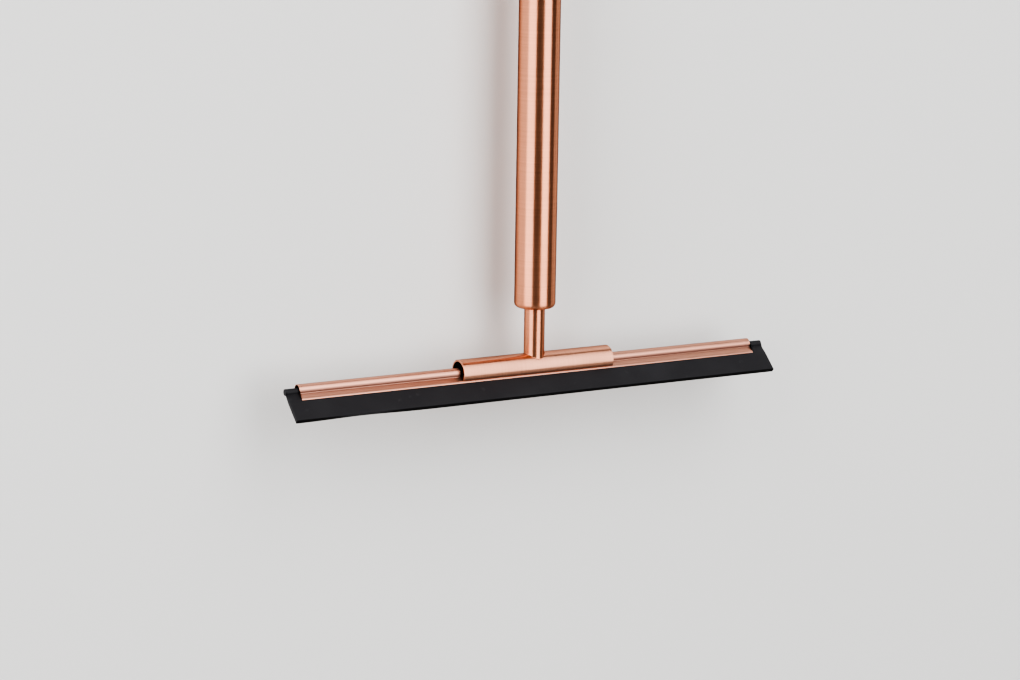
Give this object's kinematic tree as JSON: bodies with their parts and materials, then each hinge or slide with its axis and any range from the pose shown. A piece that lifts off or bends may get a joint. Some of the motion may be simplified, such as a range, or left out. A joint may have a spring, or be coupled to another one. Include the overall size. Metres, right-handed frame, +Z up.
{
  "type": "window squeegee",
  "caption": "Hand squeegee with a round tube handle, a thin neck, a slotted clip tube and a folded metal channel that holds a black rubber blade.",
  "frame": {"origin": "middle of the hanging hole, on the handle's axis", "axes": "+Z up the handle, +X along the blade, -Y the front, the side that the blade leans towards"},
  "size_m": [0.2658, 0.0242, 0.2316],
  "materials": {
    "brushed_copper": "stainless steel with a copper-coloured coating, brushed round the tubes",
    "channel_copper": "stainless strip with a copper-coloured coating, brushed along its length",
    "plain_steel": "uncoated stainless thread",
    "white_nylon": "natural nylon",
    "black_rubber": "satin black"
  },
  "bodies": {
    "handle": {"handle_tube": "brushed_copper", "lower_end_plug": "brushed_copper", "upper_end_plug": "brushed_copper"},
    "washer": {"lock_washer": "white_nylon"},
    "head": {"neck_rod": "brushed_copper", "neck_stud": "plain_steel", "clip_tube": "brushed_copper"},
    "channel": {"blade_channel": "channel_copper"},
    "rubber": {"rubber_blade": "black_rubber"}
  },
  "joints": [
    {"name": "head_travel", "type": "slide", "parent": "handle", "child": "washer", "axis": [0, 0, -1], "range_m": [0, 0.01]},
    {"name": "head_unscrew", "type": "hinge", "parent": "washer", "child": "head", "pos_m": [0, 0, -0.2066], "axis": [0, 0, -1], "range_deg": [0, 3600]},
    {"name": "channel_slide", "type": "slide", "parent": "head", "child": "channel", "axis": [1, 0, 0], "range_m": [-0.083, 0.085]},
    {"name": "rubber_slide", "type": "slide", "parent": "channel", "child": "rubber", "axis": [1, 0, 0], "range_m": [-0.24, 0.24]}
  ],
  "couplings": [
    {"joint": "head_travel", "follows": "head_unscrew", "m_per_rad": 0.00015915}
  ]
}
